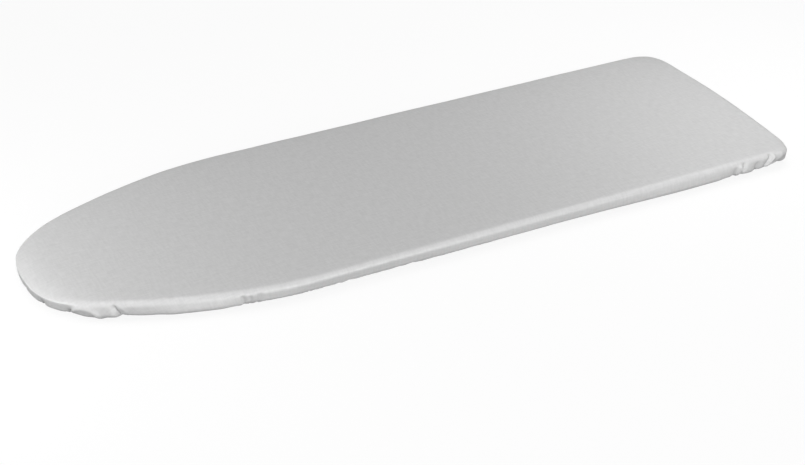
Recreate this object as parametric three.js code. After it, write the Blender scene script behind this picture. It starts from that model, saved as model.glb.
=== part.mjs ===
// Ironing board cover: a metallised cotton sheet over a foam pad and a felt underlay, held under the
// board by an elastic that runs in a bound hem. It has the shape that it holds when it is fitted.
//
// Millimetres. +X points to the square heel, +Y across the board and +Z up. The origin is the middle
// of the felt's underside, which lies on the top of the board.

import * as THREE from "three";

// Outline over the fabric, seen from above.
const COVER_LENGTH = 1200;
const COVER_WIDTH = 400;
const HEEL_BOW = 9; // how far the heel's corners lie behind its middle
const HEEL_CORNER_ROUND = 40; // along each edge, from the sharp corner to where its rounding starts
const SHOULDER_FROM_NOSE = 313; // along the cover, from the tip to where the taper starts
const SHOULDER_ROUND = 60; // along each edge, as at the heel's corner
const NOSE_WIDTH = 250; // between the two tapers, level with the tip
const NOSE_EASE_TAPER = 11; // how far the nose's curve stays clear of its sharp corner on the taper
const NOSE_EASE_TIP = 59; // and beside the tip

// Layers, and the board that the cover closes round.
const FABRIC = 0.8;
const FOAM = 4;
const FELT = 2.5;
const BOARD = 16;
const LAYER_GAP = 0.3; // between one layer and the next
const PAD_MARGIN = 1.5; // between the edges of the foam and felt and the skirt

// Section through the edge.
const TOP_ROLL = 8; // radius of the roll from the ironing face to the side
const BOTTOM_ROLL = 7; // and from the side to the underside
const SKIRT_TURN = 52; // how far the skirt and its hem reach in under the board
const HEM_CORNER_ROUND = 70; // the elastic rounds off the hem's corners at the heel

// Hem: the binding is folded over the skirt's raw edge and the elastic.
const TAPE = 0.5;
const SEAM_LAP = 4.5; // how far the raw edge lies inside the binding
const ELASTIC_WIDTH = 6;
const ELASTIC_THICKNESS = 1;
const CASING_GAP = 0.5; // round the elastic and the raw edge, inside the binding
const THREADING_GAP = 34; // left open at the heel, to thread the elastic
const ELASTIC_LAP = 24; // the length over which the elastic's two ends lie on each other

// Folds of the gathered skirt, on each half of the cover.
const HEEL_CORNER_FOLDS = 4;
const SHOULDER_FOLDS = 1;
const NOSE_FOLDS = 5;
const HEM_DROP = 4; // how far a fold hangs below the smooth hem
const HEEL_CORNER_BELLY = 1.5; // how far a fold swells below the skirt's lower edge
const SHOULDER_BELLY = 1;
const NOSE_BELLY = 3.5;
const CREASE_DEPTH = 3; // how far the skirt is drawn in between two folds

// Facets along each half of the outline, counted from the heel's middle to the nose's tip.
const STEPS_PER_FOLD = 4;
const HEEL_STEPS = 2;
const SIDE_STEPS = 2;

// Heights.
const FOAM_BASE = FELT + LAYER_GAP;
const FACE_TOP = FOAM_BASE + FOAM + LAYER_GAP + FABRIC;
const SKIRT_UNDERSIDE = -(BOARD + LAYER_GAP + FABRIC);
const CASING_HALF = Math.max(ELASTIC_THICKNESS, FABRIC) / 2 + CASING_GAP;
const HEM_MIDDLE = -(BOARD + LAYER_GAP + TAPE + CASING_HALF);

// Insets from the outline of what lies in the hem, from the binding's fold outwards.
const CASING_END = SKIRT_TURN - TAPE;
const ELASTIC_INNER = CASING_END - CASING_GAP;
const ELASTIC_OUTER = ELASTIC_INNER - ELASTIC_WIDTH;
const RAW_EDGE = ELASTIC_OUTER - CASING_GAP;
const BINDING_MOUTH = RAW_EDGE - SEAM_LAP;

const DIAGONAL = Math.SQRT1_2;

// Sharp corners of half the outline.
const HALF_LENGTH = COVER_LENGTH / 2;
const HALF_WIDTH = COVER_WIDTH / 2;
const HEEL_MIDDLE = new THREE.Vector2(HALF_LENGTH, 0);
const HEEL_CORNER = new THREE.Vector2(HALF_LENGTH - HEEL_BOW, HALF_WIDTH);
const SHOULDER = new THREE.Vector2(SHOULDER_FROM_NOSE - HALF_LENGTH, HALF_WIDTH);
const NOSE_CORNER = new THREE.Vector2(-HALF_LENGTH, NOSE_WIDTH / 2);
const NOSE_TIP = new THREE.Vector2(-HALF_LENGTH, 0);

/** The unit direction from one point of the outline to another. */
function heading(from, to) {
  return to.clone().sub(from).normalize();
}

/** The direction into the cover, square to a heading along the outline. */
function inwards(direction) {
  return new THREE.Vector2(-direction.y, direction.x);
}

/** A point moved along a direction. */
function moved(point, direction, distance) {
  return point.clone().addScaledVector(direction, distance);
}

/**
 * The outline round one sharp corner, at an inset: straight, rounded, straight.
 * reach is how far it runs along the edges before and after the corner, round is where the rounding
 * starts on each, and ease is how close to the corner the rounding's two control points lie.
 */
function roundedCorner(before, corner, after, reach, inset, round, ease = round.map((r) => r / 3)) {
  const into = heading(before, corner);
  const out = heading(corner, after);
  const bisector = inwards(into).add(inwards(out));
  const tip = moved(corner, bisector, inset / (1 + inwards(into).dot(inwards(out))));
  const start = moved(moved(corner, into, -reach[0]), inwards(into), inset);
  const end = moved(moved(corner, out, reach[1]), inwards(out), inset);
  const roundIn = Math.min(round[0], tip.distanceTo(start));
  const roundOut = Math.min(round[1], tip.distanceTo(end));
  const leave = moved(tip, into, -roundIn);
  const join = moved(tip, out, roundOut);
  const path = new THREE.CurvePath();
  path.add(new THREE.LineCurve(start, leave));
  path.add(
    new THREE.CubicBezierCurve(
      leave,
      moved(tip, into, -Math.min(ease[0], roundIn)),
      moved(tip, out, Math.min(ease[1], roundOut)),
      join,
    ),
  );
  path.add(new THREE.LineCurve(join, end));
  return path;
}

/** How far the sharp corner's inset point lies back along its edges, for each millimetre of inset. */
function mitre(before, corner, after) {
  return Math.tan(heading(before, corner).angleTo(heading(corner, after)) / 2);
}

// Where the stretches of the outline meet, measured from its sharp corners. The heel's corner reaches
// as far as the rounding of the hem below it does, and the heel bows over what is left of its edge.
const HEEL_CORNER_REACH = HEM_CORNER_ROUND + SKIRT_TURN * mitre(HEEL_MIDDLE, HEEL_CORNER, SHOULDER);
const HEEL_TURN = new THREE.Vector2(HALF_LENGTH, (HALF_WIDTH - HEEL_CORNER_REACH) / 2);
const HEEL_REACH = HEEL_TURN.distanceTo(HEEL_CORNER) - HEEL_CORNER_REACH;
const NOSE_REACH = SHOULDER.distanceTo(NOSE_CORNER) - SHOULDER_ROUND;

/** Half the heel's edge, a shallow bow. */
function heelCurve(inset) {
  const reach = [HEEL_TURN.y, HEEL_REACH];
  return roundedCorner(HEEL_MIDDLE, HEEL_TURN, HEEL_CORNER, reach, inset, reach);
}

/** The heel's corner, which the elastic rounds off more and more towards the hem. */
function heelCornerCurve(inset) {
  const round = THREE.MathUtils.lerp(HEEL_CORNER_ROUND, HEM_CORNER_ROUND, inset / SKIRT_TURN);
  const reach = [HEEL_CORNER_REACH, HEEL_CORNER_REACH];
  return roundedCorner(HEEL_TURN, HEEL_CORNER, SHOULDER, reach, inset, [round, round]);
}

/** The straight side. */
function sideCurve(inset) {
  const along = heading(HEEL_CORNER, SHOULDER);
  const start = moved(moved(HEEL_CORNER, along, HEEL_CORNER_REACH), inwards(along), inset);
  const end = moved(moved(SHOULDER, along, -SHOULDER_ROUND), inwards(along), inset);
  return new THREE.LineCurve(start, end);
}

/** The shoulder, where the side turns into the taper. */
function shoulderCurve(inset) {
  const reach = [SHOULDER_ROUND, SHOULDER_ROUND];
  return roundedCorner(HEEL_CORNER, SHOULDER, NOSE_CORNER, reach, inset, reach);
}

/** The taper and half the blunt nose, in one curve. */
function noseCurve(inset) {
  const reach = [NOSE_REACH, NOSE_WIDTH / 2];
  const ease = [NOSE_EASE_TAPER, NOSE_EASE_TIP];
  return roundedCorner(SHOULDER, NOSE_CORNER, NOSE_TIP, reach, inset, reach, ease);
}

const STRETCHES = [
  { curve: heelCurve, steps: HEEL_STEPS, folds: 0, belly: 0 },
  {
    curve: heelCornerCurve,
    steps: HEEL_CORNER_FOLDS * STEPS_PER_FOLD,
    folds: HEEL_CORNER_FOLDS,
    belly: HEEL_CORNER_BELLY,
  },
  { curve: sideCurve, steps: SIDE_STEPS, folds: 0, belly: 0 },
  {
    curve: shoulderCurve,
    steps: SHOULDER_FOLDS * STEPS_PER_FOLD,
    folds: SHOULDER_FOLDS,
    belly: SHOULDER_BELLY,
  },
  { curve: noseCurve, steps: NOSE_FOLDS * STEPS_PER_FOLD, folds: NOSE_FOLDS, belly: NOSE_BELLY },
];

/** A place on the outline: how far along its stretch, on which half, and how it is folded there. */
function station(stretch, along, half) {
  const swell = 0.5 - 0.5 * Math.cos(2 * Math.PI * stretch.folds * along);
  const crease = stretch.folds > 0 ? (1 - swell) * Math.sin(Math.PI * along) : 0;
  return { stretch, along, half, swell, crease };
}

/** The stations of one half. They straddle each fold's top, which is flat from one to the next. */
function halfStations(half) {
  return STRETCHES.flatMap((stretch) =>
    Array.from({ length: stretch.steps }, (_, step) => station(stretch, (step + 0.5) / stretch.steps, half)),
  );
}

const RIGHT_STATIONS = halfStations(1);
const LEFT_STATIONS = halfStations(-1).reverse();
const STATIONS = [...RIGHT_STATIONS, ...LEFT_STATIONS];

/** The station on the heel's edge at a distance from its middle, which the inset leaves as it is. */
function heelStation(distance, half) {
  return station(STRETCHES[0], distance / (HEEL_TURN.y + HEEL_REACH), half);
}

/** The point at a station, at an inset from the outline and a height. */
function pointAt(place, inset, height) {
  const point = place.stretch.curve(inset).getPoint(place.along);
  return new THREE.Vector3(point.x, place.half * point.y, height);
}

/** The height of the hem's middle at a station. */
function hemHeight(place) {
  return HEM_MIDDLE - HEM_DROP * place.swell;
}

/**
 * A closed body through loops that all have the same even number of points. Each end is closed by
 * joining the loop's points in pairs, first to last, second to last but one and so on.
 */
function loft(loops) {
  const count = loops[0].length;
  const last = (loops.length - 1) * count;
  const index = [];
  const addQuad = (a, b, c, d) => index.push(a, b, c, a, c, d);
  for (let row = 0; row < last; row += count) {
    for (let k = 0; k < count; k += 1) {
      const next = (k + 1) % count;
      addQuad(row + k, row + count + k, row + count + next, row + next);
    }
  }
  for (let k = 0; k + 1 < count / 2; k += 1) {
    const across = count - 1 - k;
    addQuad(k, k + 1, across - 1, across);
    addQuad(last + k, last + across, last + across - 1, last + k + 1);
  }
  const geometry = new THREE.BufferGeometry();
  geometry.setIndex(index);
  geometry.setAttribute("position", new THREE.Float32BufferAttribute(loops.flat().flatMap((p) => p.toArray()), 3));
  geometry.computeVertexNormals();
  return geometry;
}

/** The fabric's section from the ironing face to the raw edge, at a depth inside its outer surface. */
function fabricSection(depth) {
  const topRoll = (TOP_ROLL - depth) * DIAGONAL;
  const bottomRoll = (BOTTOM_ROLL - depth) * DIAGONAL;
  const topCentre = FACE_TOP - TOP_ROLL;
  const bottomCentre = SKIRT_UNDERSIDE + BOTTOM_ROLL;
  return [
    { inset: TOP_ROLL, height: FACE_TOP - depth, fold: 0 },
    { inset: TOP_ROLL - topRoll, height: topCentre + topRoll, fold: 0 },
    { inset: depth, height: (topCentre + bottomCentre) / 2, fold: 0 },
    { inset: BOTTOM_ROLL - bottomRoll, height: bottomCentre - bottomRoll, fold: DIAGONAL },
    { inset: BOTTOM_ROLL, height: SKIRT_UNDERSIDE + depth, fold: 1 },
  ];
}

/** The inset of the fabric's inner surface at a height on its top roll or side. */
function innerInset(height) {
  const [face, roll, side] = fabricSection(FABRIC);
  const [upper, lower] = height > roll.height ? [face, roll] : [roll, side];
  return THREE.MathUtils.mapLinear(height, upper.height, lower.height, upper.inset, lower.inset);
}

/** The loops of one surface of the fabric, from the ironing face to the raw edge. */
function fabricLoops(depth) {
  const rolled = fabricSection(depth).map(({ inset, height, fold }) =>
    STATIONS.map((place) => {
      const drawnIn = fold * CREASE_DEPTH * place.crease;
      const swollen = fold * place.stretch.belly * place.swell;
      return pointAt(place, inset + drawnIn, height - swollen);
    }),
  );
  const hem = [BINDING_MOUTH - CASING_GAP, RAW_EDGE].map((inset) =>
    STATIONS.map((place) => pointAt(place, inset, hemHeight(place) - FABRIC / 2 + depth)),
  );
  return [...rolled, ...hem];
}

/** The sheet of face fabric, outer surface first. */
function faceFabric() {
  return loft([...fabricLoops(0), ...fabricLoops(FABRIC).reverse()]);
}

/** A flat sheet of the pad, with its edge bevelled from a wider base to a narrower top. */
function padSheet(base, top, baseInset, topInset) {
  const loopAt = (inset, height) => STATIONS.map((place) => pointAt(place, inset, height));
  return loft([loopAt(topInset, top), loopAt(baseInset, base)]);
}

/** The foam sheet, which fills the roll of the ironing face. */
function foamPad() {
  const baseInset = innerInset(FOAM_BASE) + PAD_MARGIN;
  return padSheet(FOAM_BASE, FOAM_BASE + FOAM, baseInset, TOP_ROLL + PAD_MARGIN);
}

/** The felt sheet that lies on the board. */
function feltUnderlay() {
  const inset = innerInset(FELT) + PAD_MARGIN;
  return padSheet(0, FELT, inset, inset);
}

/** The binding: a tape folded round the elastic and the raw edge, open towards the skirt. */
function hemBinding() {
  const outerHalf = CASING_HALF + TAPE;
  const outer = [
    [BINDING_MOUTH, outerHalf],
    [CASING_END - CASING_GAP, outerHalf],
    [SKIRT_TURN, 0],
    [CASING_END - CASING_GAP, -outerHalf],
    [BINDING_MOUTH, -outerHalf],
  ];
  const inner = [
    [BINDING_MOUTH, CASING_HALF],
    [CASING_END - CASING_GAP, CASING_HALF],
    [CASING_END, 0],
    [CASING_END - CASING_GAP, -CASING_HALF],
    [BINDING_MOUTH, -CASING_HALF],
  ];
  const section = [...outer, ...inner.reverse()];
  const places = [heelStation(THREADING_GAP / 2, 1), ...STATIONS, heelStation(THREADING_GAP / 2, -1)];
  return loft(places.map((place) => section.map(([inset, up]) => pointAt(place, inset, hemHeight(place) + up))));
}

/** The elastic, which runs once round the hem. Its last end lies on its first at the threading gap. */
function hemElastic() {
  const half = ELASTIC_THICKNESS / 2;
  const section = [
    [ELASTIC_OUTER, half],
    [ELASTIC_INNER, half],
    [ELASTIC_INNER, -half],
    [ELASTIC_OUTER, -half],
  ];
  const lapShift = half + LAYER_GAP / 2;
  const lapEnds = [heelStation(ELASTIC_LAP / 2, -1), heelStation(ELASTIC_LAP / 2, 1)];
  const route = [
    ...lapEnds.map((place) => ({ place, shift: -lapShift })),
    ...STATIONS.map((place) => ({ place, shift: 0 })),
    ...lapEnds.map((place) => ({ place, shift: lapShift })),
  ];
  return loft(
    route.map(({ place, shift }) =>
      section.map(([inset, up]) => pointAt(place, inset, hemHeight(place) + shift + up)),
    ),
  );
}

/** A named piece with its own finish. */
function piece(name, geometry, color, roughness, metalness = 0) {
  const mesh = new THREE.Mesh(geometry, new THREE.MeshStandardMaterial({ color, roughness, metalness }));
  mesh.name = name;
  return mesh;
}

const cover = new THREE.Group();
cover.name = "ironing_board_cover";
cover.add(
  piece("face_fabric", faceFabric(), "#c2c4c6", 0.55, 0.25),
  piece("foam_pad", foamPad(), "#e9e4d2", 0.95),
  piece("felt_underlay", feltUnderlay(), "#d8d6d1", 1),
  piece("hem_binding", hemBinding(), "#dcdddd", 0.85),
  piece("hem_elastic", hemElastic(), "#f2f1ee", 0.8),
);

export default cover;
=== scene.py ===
"""The looks of a fitted ironing board cover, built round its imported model.

A metallised cotton sheet is drawn over a foam pad and a felt underlay. Its skirt turns under the edge
and is gathered there by an elastic that runs in a bound hem.

Metres. +X points to the square heel, +Y away from the viewer and +Z up out of the ironing face. The
origin is the middle of the felt's underside.
"""

from __future__ import annotations

import logging
import math
from bisect import bisect_left
from collections.abc import Callable, Sequence
from dataclasses import dataclass, field
from enum import Enum
from functools import lru_cache
from itertools import accumulate

import bmesh
import bpy
from mathutils import Matrix, Vector, noise
from mathutils.geometry import interpolate_bezier


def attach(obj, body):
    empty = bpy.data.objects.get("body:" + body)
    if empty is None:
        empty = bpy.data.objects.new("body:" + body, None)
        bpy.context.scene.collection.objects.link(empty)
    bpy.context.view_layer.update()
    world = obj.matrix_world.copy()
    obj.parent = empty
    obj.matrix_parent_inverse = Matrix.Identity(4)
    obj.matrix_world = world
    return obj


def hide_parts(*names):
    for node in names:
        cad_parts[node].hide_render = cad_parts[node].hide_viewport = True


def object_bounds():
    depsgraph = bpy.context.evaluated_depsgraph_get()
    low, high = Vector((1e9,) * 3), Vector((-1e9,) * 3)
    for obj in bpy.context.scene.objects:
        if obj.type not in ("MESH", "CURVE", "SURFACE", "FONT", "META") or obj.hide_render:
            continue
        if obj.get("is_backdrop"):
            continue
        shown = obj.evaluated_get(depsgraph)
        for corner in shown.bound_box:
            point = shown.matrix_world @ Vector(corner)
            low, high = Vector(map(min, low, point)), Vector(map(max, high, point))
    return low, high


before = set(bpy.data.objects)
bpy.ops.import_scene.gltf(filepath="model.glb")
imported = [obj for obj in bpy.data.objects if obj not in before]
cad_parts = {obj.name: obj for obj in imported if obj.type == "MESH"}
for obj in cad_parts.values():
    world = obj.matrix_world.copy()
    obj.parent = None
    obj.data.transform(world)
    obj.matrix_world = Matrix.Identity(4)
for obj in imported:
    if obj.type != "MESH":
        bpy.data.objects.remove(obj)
CAD_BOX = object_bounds()

LOG = logging.getLogger("ironing_board_cover")
BODY = "root"
MM = 0.001
UP = Vector((0, 0, 1))


class Slot(Enum):
    """The record's material slots."""

    COTTON = "metallised_cotton"
    FOAM = "foam"
    FELT = "needle_felt"
    TAPE = "binding_tape"
    ELASTIC = "elastic"


class Side(Enum):
    """The two halves of the cover: the one nearer the viewer and the one behind it."""

    NEAR = -1
    FAR = 1


class Seed(Enum):
    """Lines of noise and waves round the cover, each of which wanders in its own way."""

    PULL = 3.1
    FINE = 1.7
    BROAD = 4.3
    MIDDLE = 2.9
    PUCKER = 6.1
    WALL = 9.2


def smooth_step(low: float, high: float, value: float) -> float:
    """Eases from 0 at low to 1 at high.

    Args:
        low: Where the rise starts.
        high: Where it ends, which may lie below low for a fall.
        value: The place to read.

    Returns:
        A share from 0 to 1.
    """
    share = min(max((value - low) / (high - low), 0.0), 1.0)
    return share * share * (3 - 2 * share)


def steady_noise(place: float, wave: float, seed: float) -> float:
    """Smooth noise along a line, the same on each run.

    Args:
        place: Distance along the line.
        wave: Rough length of one swing.
        seed: Picks one line of noise from many.

    Returns:
        A value from about -1 to 1.
    """
    return noise.noise(Vector((place / wave, seed, 0.37 * seed)))


# Materials

def linear(hex_colour: str) -> tuple[float, float, float, float]:
    """Turns an sRGB hex colour to the linear RGBA that shaders take."""
    channels = (int(hex_colour[i : i + 2], 16) / 255 for i in (1, 3, 5))
    shares = [c / 12.92 if c <= 0.04045 else ((c + 0.055) / 1.055) ** 2.4 for c in channels]
    return (shares[0], shares[1], shares[2], 1.0)


def add_node(
    tree: bpy.types.NodeTree, kind: str, inputs: dict | None = None, **settings: object
) -> bpy.types.Node:
    """Adds a node with its settings, values and links.

    Args:
        tree: The node tree of a material or a world.
        kind: The node's type name.
        inputs: By socket name or index, a value to set or an output to link.
        **settings: The node's own properties.

    Returns:
        The new node.
    """
    node = tree.nodes.new(kind)
    for name, value in settings.items():
        setattr(node, name, value)
    for socket, value in (inputs or {}).items():
        if isinstance(value, bpy.types.NodeSocket):
            tree.links.new(value, node.inputs[socket])
        else:
            node.inputs[socket].default_value = value
    return node


def new_material(name: str) -> tuple[bpy.types.Material, bpy.types.NodeTree]:
    """Makes an empty node material.

    Args:
        name: The material's name.

    Returns:
        The material and its cleared node tree.
    """
    material = bpy.data.materials.new(name)
    material.use_nodes = True
    material.node_tree.nodes.clear()
    return material, material.node_tree


def tint_ramp(
    tree: bpy.types.NodeTree, share: bpy.types.NodeSocket, dark: str, light: str
) -> bpy.types.NodeSocket:
    """Colours a pattern from dark to light.

    Args:
        tree: The material's node tree.
        share: The pattern, from 0 to 1.
        dark: Hex colour at 0.
        light: Hex colour at 1.

    Returns:
        The mixed colour.
    """
    inputs = {0: share, 6: linear(dark), 7: linear(light)}
    return add_node(tree, "ShaderNodeMix", inputs, data_type="RGBA").outputs[2]


@dataclass(frozen=True)
class MetallisedCotton:
    """Plain-weave cotton whose face carries a thin silver coat: satin, neutral grey, faintly slubbed."""

    dark: str = "#c0c0c0"
    light: str = "#c8c8c8"
    metallic: float = 0.18
    roughness: float = 0.6
    slub_width: float = 3.2 * MM
    slub_length: float = 16 * MM
    # Real threads lie about 0.4 mm apart. They are drawn at three times that so that they show up close.
    thread_pitch: float = 1.2 * MM
    slub_relief: float = 0.03 * MM
    thread_relief: float = 0.06 * MM
    flat_map: str = "flat_cut"

    def build(self) -> bpy.types.Material:
        """Makes the material, whose threads follow the sheet's flat cut."""
        material, tree = new_material("metallised_cotton")
        flat = add_node(tree, "ShaderNodeUVMap", uv_map=self.flat_map).outputs[0]
        slubs = []
        for along, across in ((self.slub_length, self.slub_width), (self.slub_width, self.slub_length)):
            scale = (1 / along, 1 / across, 1)
            drawn = add_node(tree, "ShaderNodeMapping", {"Vector": flat, "Scale": scale}).outputs[0]
            texture = add_node(tree, "ShaderNodeTexNoise", {"Vector": drawn, "Scale": 1, "Detail": 2})
            slubs.append(texture.outputs[0])
        slub = add_node(tree, "ShaderNodeMath", {0: slubs[0], 1: slubs[1]}, operation="ADD")
        slub_share = add_node(tree, "ShaderNodeMapRange", {0: slub.outputs[0], 1: 0.7, 2: 1.3}).outputs[0]
        threads = []
        for direction in ("X", "Y"):
            scale = math.pi / (10 * self.thread_pitch)
            inputs = {"Vector": flat, "Scale": scale}
            threads.append(add_node(tree, "ShaderNodeTexWave", inputs, bands_direction=direction).outputs[1])
        thread = add_node(tree, "ShaderNodeMath", {0: threads[0], 1: threads[1]}, operation="MULTIPLY")
        inputs = {"Height": slub_share, "Distance": self.slub_relief, "Strength": 0.6}
        slub_bump = add_node(tree, "ShaderNodeBump", inputs).outputs[0]
        inputs = {"Height": thread.outputs[0], "Distance": self.thread_relief, "Strength": 0.5}
        bump = add_node(tree, "ShaderNodeBump", {**inputs, "Normal": slub_bump}).outputs[0]
        inputs = {0: slub_share, 3: self.roughness + 0.05, 4: self.roughness - 0.05}
        rough = add_node(tree, "ShaderNodeMapRange", inputs).outputs[0]
        inputs = {
            "Base Color": tint_ramp(tree, slub_share, self.dark, self.light),
            "Metallic": self.metallic,
            "Roughness": rough,
            "Normal": bump,
        }
        shader = add_node(tree, "ShaderNodeBsdfPrincipled", inputs)
        add_node(tree, "ShaderNodeOutputMaterial", {0: shader.outputs[0]})
        return material


@dataclass(frozen=True)
class FibreFinish:
    """A matt textile seen as a mass of fibres or cells: two tones in grains of a real size, with relief."""

    name: str
    dark: str
    light: str
    grain: float
    relief: float
    roughness: float = 0.95
    sheen: float = 0.0

    def build(self) -> bpy.types.Material:
        """Makes the material on Object coordinates."""
        material, tree = new_material(self.name)
        place = add_node(tree, "ShaderNodeTexCoord").outputs["Object"]
        inputs = {"Vector": place, "Scale": 1 / (6 * self.grain), "Detail": 3}
        coarse = add_node(tree, "ShaderNodeTexNoise", inputs).outputs[0]
        inputs = {"Vector": place, "Scale": 1 / self.grain, "Detail": 4, "Roughness": 0.65, "Distortion": 1.5}
        fine = add_node(tree, "ShaderNodeTexNoise", inputs).outputs[0]
        both = add_node(tree, "ShaderNodeMath", {0: coarse, 1: fine}, operation="ADD").outputs[0]
        share = add_node(tree, "ShaderNodeMapRange", {0: both, 1: 0.65, 2: 1.35}).outputs[0]
        inputs = {"Height": fine, "Distance": self.relief, "Strength": 0.8}
        bump = add_node(tree, "ShaderNodeBump", inputs).outputs[0]
        inputs = {
            "Base Color": tint_ramp(tree, share, self.dark, self.light),
            "Roughness": self.roughness,
            "Sheen Weight": self.sheen,
            "Normal": bump,
        }
        shader = add_node(tree, "ShaderNodeBsdfPrincipled", inputs)
        add_node(tree, "ShaderNodeOutputMaterial", {0: shader.outputs[0]})
        return material


# Needle-punched polyester: matted fibres with no weave, softly mottled.
FELT = FibreFinish("needle_felt", "#cfcdc8", "#e4e2dd", 1.6 * MM, 0.35 * MM, roughness=1.0, sheen=0.2)
# Open-cell polyurethane: fine open cells, warm white.
FOAM = FibreFinish("polyurethane_foam", "#dfd8c4", "#f0ebdc", 1.2 * MM, 0.4 * MM)
# Woven cotton tape: a matt, close weave.
TAPE = FibreFinish("cotton_bias_tape", "#d2d3d3", "#e2e3e3", 0.9 * MM, 0.12 * MM, roughness=0.85)
# Braided polyester over rubber: matt white cords.
ELASTIC = FibreFinish("braided_elastic", "#e6e5e1", "#f6f5f2", 0.7 * MM, 0.1 * MM, roughness=0.8)
# Spun polyester sewing thread: a faint sheen.
THREAD = FibreFinish("sewing_thread", "#e3e3e1", "#f3f3f1", 0.5 * MM, 0.05 * MM, roughness=0.6)


@dataclass(frozen=True)
class StudioPaper:
    """Pale seamless paper that glows a little, so that it stays near white, and is clear from behind."""

    name: str
    colour: str
    glow: float

    def build(self) -> bpy.types.Material:
        """Makes the paper's material."""
        material, tree = new_material(self.name)
        inputs = {
            "Base Color": linear(self.colour),
            "Roughness": 0.9,
            "Specular IOR Level": 0.0,
            "Emission Color": linear("#ffffff"),
            "Emission Strength": self.glow,
        }
        shader = add_node(tree, "ShaderNodeBsdfPrincipled", inputs)
        clear = add_node(tree, "ShaderNodeBsdfTransparent")
        back = add_node(tree, "ShaderNodeNewGeometry").outputs["Backfacing"]
        both = add_node(tree, "ShaderNodeMixShader", {0: back, 1: shader.outputs[0], 2: clear.outputs[0]})
        add_node(tree, "ShaderNodeOutputMaterial", {0: both.outputs[0]})
        return material


# Outline

@dataclass(frozen=True)
class Corner:
    """A stretch of the outline round one sharp corner: straight, rounded, straight."""

    before: Vector
    tip: Vector
    after: Vector
    reach: tuple[float, float]
    rounding: Callable[[float], tuple[float, float]]
    ease: tuple[float, float] | None = None

    SAMPLES = 96

    def headings(self) -> tuple[Vector, Vector]:
        """The unit directions into the corner and out of it."""
        return (self.tip - self.before).normalized(), (self.after - self.tip).normalized()

    def path(self, inset: float) -> Path:
        """The stretch at an inset.

        Args:
            inset: Distance inside the outline.

        Returns:
            The line, as points close together.
        """
        into, out = self.headings()
        into_in, out_in = Vector((-into.y, into.x)), Vector((-out.y, out.x))
        tip = self.tip + (into_in + out_in) * (inset / (1 + into_in.dot(out_in)))
        start = self.tip - into * self.reach[0] + into_in * inset
        end = self.tip + out * self.reach[1] + out_in * inset
        wanted = self.rounding(inset)
        round_in = min(wanted[0], (tip - start).length)
        round_out = min(wanted[1], (end - tip).length)
        ease_in, ease_out = self.ease or (wanted[0] / 3, wanted[1] / 3)
        leave, join = tip - into * round_in, tip + out * round_out
        knob_in, knob_out = tip - into * min(ease_in, round_in), tip + out * min(ease_out, round_out)
        return Path([start, *interpolate_bezier(leave, knob_in, knob_out, join, self.SAMPLES), end])


class Path:
    """A line through points, read by the share of its length."""

    def __init__(self, points: Sequence[Vector]) -> None:
        """Measures the line.

        Args:
            points: Its points in order.
        """
        self.points = points
        self.marks = list(accumulate(((b - a).length for a, b in zip(points, points[1:])), initial=0.0))

    @property
    def length(self) -> float:
        """The line's length."""
        return self.marks[-1]

    def at(self, share: float) -> Vector:
        """The point at a share of the length, from 0 to 1."""
        reach = share * self.length
        last = min(max(bisect_left(self.marks, reach), 1), len(self.points) - 1)
        step = self.marks[last] - self.marks[last - 1]
        part = (reach - self.marks[last - 1]) / step if step else 0.0
        return self.points[last - 1].lerp(self.points[last], part)


@dataclass(frozen=True)
class Station:
    """A place on the outline: its girth is the distance along the edge from the nose's tip."""

    stretch: int
    along: float
    side: Side
    girth: float


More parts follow.
